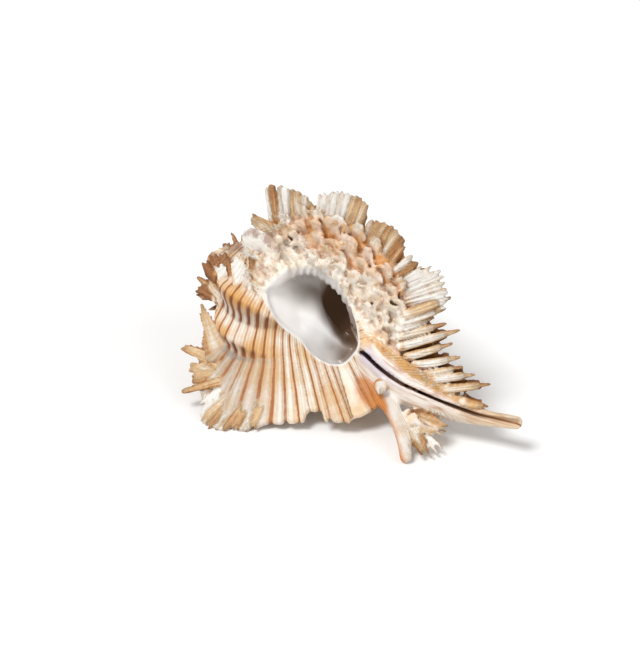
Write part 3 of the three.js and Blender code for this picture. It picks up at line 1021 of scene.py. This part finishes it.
def nearest_growth(radius, level, turn):
    """How far above the nearest whorl each point is, its place along the outline and its age."""
    nearest = np.full(radius.shape, 1e9, np.float32)
    along = np.zeros(radius.shape, np.float32)
    age = np.zeros(radius.shape, np.float32)
    for number in range(WHORL_COUNT):
        outside, at_along, at_age = whorl_skin(radius, level, turn, number)
        closer = outside < nearest
        nearest = np.where(closer, outside, nearest)
        along = np.where(closer, at_along, along)
        age = np.where(closer, at_age, age)
    for flange_turn in (DORSAL_TURN, LEFT_TURN, 0):
        size = size_at(flange_turn)
        out, ahead = out_and_ahead(radius, turn - flange_turn)
        _, at_along = sheet_chart.read(out / size, level / size)
        on_sheet = (np.abs(ahead) < 6) & (out > 0)
        share = on_sheet * smoothstep(nearest, 0.3, 3)
        along = along * (1 - share) + at_along * share
        age = np.where(share > 0.5, flange_turn, age)
    return nearest, along, age


def inner_glaze(radius, level, turn, beyond, above_floor):
    """1 on the porcelain inside the mouth and on the glaze beside it, 0 elsewhere."""
    dug = np.minimum(hollow_skin(radius, level, turn), mouth_skin(radius, level, turn))
    on_callus = (1 - smoothstep(beyond, 0.2, 0.8)) * (1 - smoothstep(np.abs(above_floor), 1.6, 3))
    inner = np.maximum(1 - smoothstep(dug, 0.1, 0.7), on_callus)
    return inner * smoothstep(-level, 16, 19)


def note_surface(clay, mesh):
    """Writes on the mesh what each point of the skin is, for the finish."""
    points = mesh_points(mesh)
    radius, level, turn = axis_places(points)
    nearest, along, age = nearest_growth(radius, level, turn)
    cord = cord_number(along)
    out, ahead = out_and_ahead(radius, turn)
    flat_out, flat_level = flat_view(out, ahead, level)
    down = -flat_level
    beyond, _ = mouth_chart.read(flat_out, flat_level)
    floor, = MOUTH_FLOOR.read(flat_out, flat_level)
    inner = inner_glaze(radius, level, turn, beyond, ahead - floor)
    face = lip_face(radius, level, turn)
    canal = rod_skin(points, curve_through(CANAL[1:], 3))
    ridge = rod_skin(points, np.array([(*slid_place(*spot), 0.4) for spot in CANAL_RIDGE]))
    spike = rod_skin(points, curve_through(OLD_CANAL[2:], 3))
    slit_line = np.array(SLIT_LINE)
    border_out, border_down = np.array(CANAL_BORDER).T
    beside_border = flat_out - np.interp(down, border_down, border_out)
    beside_left = (1 - smoothstep(nearest, 2, 7)) * (np.abs(turn - 360 - LEFT_TURN) < 20)
    solid = (clay.outside < 0).astype(np.float32)
    fine = clay.sample(smooth_box(solid, max(int(0.6 / clay.step), 1)), points)
    broad = clay.sample(smooth_box(solid, max(int(2.4 / clay.step), 2)), points)
    notes = {
        "cord": cord,
        "along": along,
        "above": nearest,
        "steady": steady_points(mesh, cord, 0.9),
        "hump": humps_at(age, along),
        "blotch": humps_at(age, along, 0.075),
        "face": face,
        "margin": smoothstep(flat_out, 12, 25),
        "inner": inner,
        # How deep inside the mouth a point lies, for painted grey-brown shade and a painted glow there;
        # the next line places a patch of painted shade in the mouth's upper part.
        "deep_shade": np.clip(-(ahead - 2 + 0.45 * (flat_level + 36)) / 12, 0, 1) * inner,
        "shade": np.exp(-((flat_out - 6.5) / 4.5) ** 2 - ((flat_level + 32.5) / 6) ** 2),
        "canal": (1 - smoothstep(canal, 0.2, 1.0)) * smoothstep(-level, 45, 49) * (1 - face)
        * smoothstep(beside_border, -0.8, 0.8),
        "stain": np.exp(-((flat_out + 9.5) / 4) ** 2 - ((flat_level + 54) / 5) ** 2),
        "ridge": 1 - smoothstep(ridge, 0.6, 2.6),
        "slit": flat_out - np.interp(down, -slit_line[:, 1], slit_line[:, 0]),
        "spike": 1 - smoothstep(spike, 0.2, 1.0),
        "spike_edge": (radius - 8) * 0.79 + (level + 61) * 0.61,
        "level": -level,
        # Brown in crevices: partly dirt, partly painted shade.
        "crevice": smoothstep(fine, 0.5, 0.68),
        # Broad hollows, for painted grey shade in the body's valleys.
        "fold": smoothstep(broad, 0.5, 0.85),
        "old": smoothstep(-age, 350, 640),
        # Painted blue-grey shade where the body meets the left varix.
        "furrow": beside_left * smoothstep(age, -247, -238) * (1 - smoothstep(along, 26, 44)),
    }
    for name in clay.notes:
        notes[name] = clay.sample(clay.notes[name], points)
    for name, values in notes.items():
        attribute = mesh.attributes.new(name, "FLOAT", "POINT")
        attribute.data.foreach_set("value", np.ascontiguousarray(values, np.float32))


def shape_clay():
    """All of the shell's shape, in the order in which the real one is laid down and opened."""
    low, high = (np.array(corner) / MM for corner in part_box("shell"))
    apex = low + APEX_FROM_LOW_CORNER
    clay = Clay(low - apex - 1.5, high - apex + 1.5, CLAY_STEP)
    add_whorls(clay)
    add_flange(clay, DORSAL_TURN, DORSAL_EDGE, 0.8, 2.0, 2.5, 2.5, 0.3)
    add_flange(clay, LEFT_TURN, LEFT_EDGE, 0.5, 1.0, 3.2, 3.5, 0.45)
    add_flange(clay, 0, LIP_EDGE, 0.6, 1.8, 4.0, 1.5, 0.0, slide=True)
    add_canals(clay)
    add_frond_row(clay, DORSAL_TURN, size_at(DORSAL_TURN), DORSAL_ROW, growth_at(DORSAL_TURN), 0.4)
    add_early_fronds(clay)
    add_left_fronds(clay)
    add_crumpled_fronds(clay)
    add_canal_ridge(clay)
    add_lip_scales(clay)
    add_lip_fronds(clay)
    add_callus_edge(clay)
    roughen(clay)
    dig_mouth(clay)
    dig_slit(clay)
    height = clay.spots()[..., 2]
    clay.outside = np.maximum(clay.outside, -FLOOR_BELOW_APEX - height)
    return clay, apex


# --- Finish -------------------------------------------------------------------------------------

def tone(red, green, blue):
    """A colour from its 0 to 255 screen values, as the shader's linear colour."""
    return tuple(
        value / 255 / 12.92 if value <= 10 else ((value / 255 + 0.055) / 1.055) ** 2.4
        for value in (red, green, blue)
    ) + (1.0,)


class Signal:
    """A value running through a finish. Sums and products of it add Math nodes."""

    def __init__(self, finish, socket):
        self.finish = finish
        self.socket = socket

    def math(self, operation, first, second=0.0):
        return self.finish.node("ShaderNodeMath", {"operation": operation}, {0: first, 1: second})

    def __add__(self, other):
        return self.math("ADD", self, other)

    def __radd__(self, other):
        return self.math("ADD", other, self)

    def __sub__(self, other):
        return self.math("SUBTRACT", self, other)

    def __rsub__(self, other):
        return self.math("SUBTRACT", other, self)

    def __mul__(self, other):
        return self.math("MULTIPLY", self, other)

    def __rmul__(self, other):
        return self.math("MULTIPLY", other, self)

    def __abs__(self):
        return self.math("ABSOLUTE", self)

    def or_more(self, other):
        return self.math("MAXIMUM", self, other)


class Finish:
    """A material being made, node by node."""

    def __init__(self, name):
        self.material = bpy.data.materials.new(name)
        self.material.use_nodes = True
        self.tree = self.material.node_tree
        self.tree.nodes.clear()

    def node(self, kind, settings=None, inputs=None, output=0):
        """A node of a kind: its settings first, then the values or links of its sockets."""
        made = self.tree.nodes.new(kind)
        for name, value in (settings or {}).items():
            setattr(made, name, value)
        for name, value in (inputs or {}).items():
            if isinstance(value, Signal):
                self.tree.links.new(value.socket, made.inputs[name])
            else:
                made.inputs[name].default_value = value
        return Signal(self, made.outputs[output]) if made.outputs else made

    def note(self, name):
        """A value that is written on the mesh."""
        return self.node("ShaderNodeAttribute", {"attribute_name": name}, output="Fac")

    def place(self):
        """Where a point is on the object, in millimetres."""
        spot = self.node("ShaderNodeTexCoord", output="Object")
        return self.node("ShaderNodeVectorMath", {"operation": "SCALE"}, {0: spot, "Scale": 1 / MM})

    def mottle(self, spot, scale, detail=3.0, roughness=0.55):
        """Random cloudiness from 0 to 1, with so many clouds to a millimetre."""
        settings = {"noise_dimensions": "3D"}
        return self.node("ShaderNodeTexNoise", settings, {
            "Vector": spot, "Scale": scale, "Detail": detail, "Roughness": roughness,
        })

    def step(self, value, low, high, first=0.0, last=1.0):
        """A smooth step from first to last as the value goes from low to high."""
        return self.node("ShaderNodeMapRange", {"interpolation_type": "SMOOTHSTEP"}, {
            "Value": value, "From Min": low, "From Max": high, "To Min": first, "To Max": last,
        })

    def mix(self, share, first, second):
        """The first colour, turning into the second as the share goes from 0 to 1."""
        settings = {"data_type": "RGBA", "clamp_factor": True}
        return self.node("ShaderNodeMix", settings, {0: share, 6: first, 7: second}, output=2)

    def layered(self, colour, *layers):
        """A colour with others over it, each given as its share and its 0 to 255 screen values."""
        for share, red, green, blue in layers:
            colour = self.mix(share, colour, tone(red, green, blue))
        return colour

    def streaks(self, detail, roughness, **axes):
        """Random cloudiness stretched along the axes that vary least."""
        spot = self.node("ShaderNodeCombineXYZ", None, axes)
        return self.mottle(spot, 1.0, detail, roughness)

    def near_whole(self, value):
        """0 where a value is a whole number, 0.5 half way to the next."""
        return value.math("PINGPONG", value, 0.5)

    def surfaced(self, inputs):
        """The material, its surface made from these inputs."""
        shader = self.node("ShaderNodeBsdfPrincipled", None, inputs)
        self.node("ShaderNodeOutputMaterial", None, {"Surface": shader})
        return self.material


class ShellFinish(Finish):
    """Chalky cream shell with orange-brown cords, a porcelain white inside and tan fronds."""

    def __init__(self):
        super().__init__("murex_shell_finish")
        note, mottle = self.note, self.mottle
        self.spot = self.place()
        self.clouds = mottle(self.spot, 0.13)
        self.patches = mottle(self.spot, 0.3, 4.0, 0.6)
        self.fine = mottle(self.spot, 1.1, 4.0, 0.6)
        self.cord = note("cord") + (self.patches - 0.5) * 0.16
        self.on_frond = self.step(note("tip"), 0.02, 0.22) * self.step(note("above"), 0.4, 1.2)
        self.flutes = self.streaks(3.0, 0.6, X=note("flute") * 2.2, Y=note("tip") * 0.9,
                                   Z=note("tint") * 40)

    def body(self):
        """Cream ribs with stained grooves, finer threads between them, and stained humps."""
        note, step = self.note, self.step
        cord, clouds, patches, fine = self.cord, self.clouds, self.patches, self.fine
        steady = note("steady")
        near_groove = self.near_whole(cord)
        halo = 1 - step(near_groove, 0.06, 0.34)
        groove = 1 - step(near_groove, 0.04, 0.15)
        threads = 1 - step(self.near_whole(cord * 3), 0.08, 0.34)
        band = self.node("ShaderNodeTexWhiteNoise", {"noise_dimensions": "1D"},
                         {"W": cord.math("FLOOR", cord + 0.5)}, output="Value")
        strength = step(band * 0.7 + clouds, 0.45, 0.95)
        blotch = step(note("blotch") * (0.6 + patches), 0.3, 0.62)
        # The flanges are browner in two bands. A golden stain lies where the canal begins.
        sheet = step(note("above"), 0.6, 3.0) * (1 - step(note("along"), 57, 60))
        apex_band = step(cord, 15, 16.2, 1.0, 0.0)
        canal_band = step(cord, 19, 20) * step(cord, 22, 23.4, 1.0, 0.0)
        bands = sheet * apex_band + sheet * canal_band
        stain = step(note("stain") * (0.6 + patches), 0.15, 0.55)
        # Painted shade: valleys are greyer, most of all where the body meets the left varix.
        painted_valley_shade = note("fold") * (1 - blotch) * (1 - note("hump")) * 0.35
        return self.layered(
            tone(246, 238, 224),
            (step(clouds, 0.38, 0.66), 232, 206, 168),
            (step(fine, 0.55, 0.85) * 0.35, 205, 170, 125),
            (note("hump") * step(clouds, 0.3, 0.55) * 0.85, 226, 160, 66),
            (halo * (0.15 + strength * 0.55) * steady, 222, 156, 76),
            (groove * (0.35 + strength * 0.6) * steady, 148, 86, 36),
            (blotch * (0.3 + halo * 0.7) * steady, 112, 54, 18),
            (threads * 0.22 * steady, 150, 104, 60),
            (bands * (0.2 + groove * 0.4) * step(fine, 0.2, 0.6), 190, 124, 60),
            (stain * (0.85 - groove * 0.3), 204, 122, 42),
            (painted_valley_shade, 160, 148, 132),
            (note("furrow") * 0.7 * (1 - groove * 0.5), 122, 118, 116),
        )

    def frond(self):
        """White or tan leaves, fluted along and ringed across, browner at their edges and tips."""
        note, step = self.note, self.step
        side = abs(note("flute"))
        rings = self.streaks(2.0, 0.5, X=note("tip") * 14, Y=side * 0.6, Z=note("tint") * 30)
        tint = note("tint") + (self.flutes - 0.5) * 0.9 + note("tip") * 0.12 + (rings - 0.5) * 0.35
        tint = tint + step(side, 0.45, 1.0) * 0.35
        return self.layered(
            tone(240, 236, 228),
            (step(tint, 0.1, 0.5), 216, 182, 136),
            (step(tint, 0.45, 0.85), 170, 112, 60),
            (step(tint, 0.8, 1.2), 110, 68, 40),
            (step(note("tip"), 0.75, 1.0) * step(tint, -0.1, 0.4) * 0.4, 140, 108, 76),
        )

    def face(self):
        """The lip's face: chalky and pitted, with golden stains towards its margin."""
        step, fine = self.step, self.fine
        golden = step(self.patches * 0.85 + self.note("margin") * 0.45, 0.48, 0.72)
        pits = self.node("ShaderNodeTexVoronoi", None, {"Vector": self.spot, "Scale": 0.55},
                         output="Distance")
        return self.layered(
            tone(250, 245, 235),
            (step(fine, 0.35, 0.7), 238, 222, 196),
            (golden * (0.5 + fine * 0.7), 228, 156, 66),
            ((1 - step(pits, 0.1, 0.24)) * step(fine, 0.5, 0.6) * 0.85, 124, 76, 42),
        )

    def canal(self):
        """Pinkish beige and lavender, lined along its length, with the slit painted dark as shade."""
        step, level = self.step, self.note("level")
        from_slit = abs(self.note("slit"))
        lines = self.streaks(4.0, 0.6, X=self.note("slit") * 1.1, Y=level * 0.12)
        wall = self.layered(
            tone(236, 226, 214),
            (step(lines, 0.4, 0.7), 206, 176, 152),
            (step(lines + self.clouds, 1.0, 1.25) * 0.7, 176, 118, 66),
            (step(from_slit, 0.8, 3.6, 1.0, 0.0) * step(level, 54, 68, 0.9, 0.15), 204, 194, 204),
            (step(level, 70, 86) * 0.6, 216, 182, 134),
        )
        # The slit is painted dark, a painted shade of the narrow gap into the canal.
        slit = self.layered(tone(58, 32, 34), (step(level, 54, 76), 150, 98, 58))
        slit_width = step(level, 46, 78, 0.62, 0.2)
        return self.mix(step(from_slit - slit_width, -0.1, 0.22, 1.0, 0.0), wall, slit)

    def spike(self):
        """The old canal: chalky white, golden brown along its outer edge."""
        step, patches = self.step, self.patches
        return self.layered(
            tone(242, 236, 228),
            (step(patches, 0.4, 0.7) * 0.5, 214, 170, 124),
            (step(self.note("spike_edge") + (patches - 0.5) * 0.8, -0.3, 1.1), 206, 130, 62),
        )

    def inside(self):
        """Porcelain white, grey-brown where the light doesn't reach."""
        deep_shade = self.note("deep_shade")
        return self.layered(
            tone(240, 238, 236),
            ((self.note("shade") * 0.75).or_more(self.step(deep_shade, 0.05, 0.5)), 142, 124, 112),
            (self.step(deep_shade, 0.4, 0.9), 86, 64, 48),
        )

    def colour(self):
        """Each part's colour over those before it. Crevices are browner, partly dirt and partly painted
        shade, and the spire is brownest.
        """
        note, step, mix = self.note, self.step, self.mix
        off_frond = 1 - self.on_frond
        colour = mix(self.on_frond, self.body(), self.frond())
        colour = self.layered(
            mix(note("face") * (1 - self.on_frond * 0.6), colour, self.face()),
            # Brown in crevices: partly dirt, partly painted shade.
            (note("crevice") * step(self.fine, 0.25, 0.55) * (1 - note("inner")) * 0.7, 160, 96, 40),
            (note("old") * step(self.patches, 0.35, 0.6) * 0.7, 140, 88, 52),
            (note("ridge") * step(self.fine, 0.3, 0.6) * 0.75, 230, 168, 84),
        )
        colour = mix(note("canal") * off_frond, colour, self.canal())
        colour = mix(note("spike") * off_frond * 0.9, colour, self.spike())
        return mix(note("inner"), colour, self.inside())

    def relief(self, smooth):
        """Threads on the cords, flutes on the fronds, growth lines and a fine grain."""
        grain = self.mottle(self.spot, 4.5, 3.0, 0.6)
        growth_lines = self.mottle(self.spot, 2.2, 2.0, 0.5)
        threads = self.step(self.near_whole(self.cord * 3), 0.0, 0.5) * 0.14 * self.note("steady")
        relief = (threads + self.flutes * self.on_frond * 0.3) * (1 - self.note("face"))
        return (relief + growth_lines * 0.14 + grain * 0.05) * (1 - smooth)

    def make(self):
        """The material: the inside is smooth and glazed, the canal half as much."""
        smooth = self.note("inner").or_more(self.note("canal") * 0.5)
        bump = self.node("ShaderNodeBump", None, {
            "Strength": 1.0, "Distance": MM, "Height": self.relief(smooth),
        }, output="Normal")
        # Painted light: a faint warm glow deep in the mouth, though nothing there gives light.
        painted_glow = self.note("deep_shade") * self.note("inner")
        return self.surfaced({
            "Base Color": self.colour(),
            "Roughness": 0.62 - smooth * 0.32 + (self.fine - 0.5) * 0.15,
            "Coat Weight": smooth * 0.3,
            "Coat Roughness": 0.2,
            "Emission Color": self.layered(tone(0, 0, 0), (painted_glow, 140, 106, 80)),
            "Emission Strength": 0.12,
            "Normal": bump,
        })


def paper_finish():
    """Plain pale floor."""
    finish = Finish("studio_paper")
    shade = finish.mottle(finish.place(), 0.02)
    colour = finish.layered(tone(250, 250, 249), (shade, 247, 247, 247))
    return finish.surfaced({"Base Color": colour, "Roughness": 0.9})


# --- The shell ----------------------------------------------------------------------------------

def add_object(name, data):
    thing = bpy.data.objects.new(name, data)
    bpy.context.scene.collection.objects.link(thing)
    return thing


def thin_out(piece, limit):
    """Joins the smallest faces until the piece has no more triangles than the limit."""
    triangles = sum(len(face.vertices) - 2 for face in piece.data.polygons)
    if triangles > limit:
        thinner = piece.modifiers.new("thinner", "DECIMATE")
        thinner.ratio = limit / triangles
        bpy.context.view_layer.objects.active = piece
        bpy.ops.object.modifier_apply(modifier=thinner.name)


def make_shell():
    """Makes the shell in place of the frame's plain one. Returns where its apex is, in metres."""
    clay, apex = shape_clay()
    piece = add_object("murex_shell", skin_mesh(clay))
    thin_out(piece, FACE_LIMIT)
    note_surface(clay, piece.data)
    moved = (mesh_points(piece.data) + apex) * MM
    piece.data.vertices.foreach_set("co", moved.astype(np.float32).ravel())
    piece.data.shade_smooth()
    piece.data.update()
    piece.data.materials.append(ShellFinish().make())
    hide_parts("shell")
    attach(piece, "root")
    return apex * MM


# --- Studio -------------------------------------------------------------------------------------

# Degrees, a lens in millimetres, and metres from the apex back, right and up.
CAMERA_AZIMUTH = 37.5
CAMERA_ELEVATION = 30.0
CAMERA_LENS = 85.0
CAMERA_DISTANCE = 0.3841
CAMERA_RIGHT = 0.0278
CAMERA_UP = -0.01939


def make_floor():
    bpy.ops.mesh.primitive_plane_add(size=8)
    floor = bpy.context.object
    floor.name = "studio_floor"
    floor.data.materials.append(paper_finish())


def aim(thing, azimuth, elevation):
    """Turns a camera or a light to look from a direction, and returns that direction."""
    turn, rise = math.radians(azimuth), math.radians(elevation)
    back = Vector((
        math.sin(turn) * math.cos(rise), -math.cos(turn) * math.cos(rise), math.sin(rise),
    ))
    thing.rotation_mode = "QUATERNION"
    thing.rotation_quaternion = (-back).to_track_quat("-Z", "Y")
    return back


def make_camera(apex):
    data = bpy.data.cameras.new("camera")
    data.lens = CAMERA_LENS
    data.clip_start = 0.01
    camera = add_object("camera", data)
    back = aim(camera, CAMERA_AZIMUTH, CAMERA_ELEVATION)
    turn = math.radians(CAMERA_AZIMUTH)
    right = Vector((math.cos(turn), math.sin(turn), 0))
    up = back.cross(right)
    camera.location = Vector(apex) + CAMERA_RIGHT * right + CAMERA_UP * up + CAMERA_DISTANCE * back
    bpy.context.scene.camera = camera


def make_sun(name, azimuth, elevation, strength, spread):
    data = bpy.data.lights.new(name, "SUN")
    data.energy = strength
    data.angle = math.radians(spread)
    aim(add_object(name, data), azimuth, elevation)


def make_light():
    world = bpy.data.worlds.new("studio")
    world.use_nodes = True
    background = world.node_tree.nodes["Background"]
    background.inputs["Color"].default_value = (1, 1, 1, 1)
    background.inputs["Strength"].default_value = 0.45
    bpy.context.scene.world = world
    make_sun("key_light", -12, 58, 2.2, 22)
    make_sun("side_light", 95, 35, 0.5, 40)
    bpy.context.scene.view_settings.view_transform = "Standard"


shell_apex = make_shell()
make_floor()
make_camera(shell_apex)
make_light()
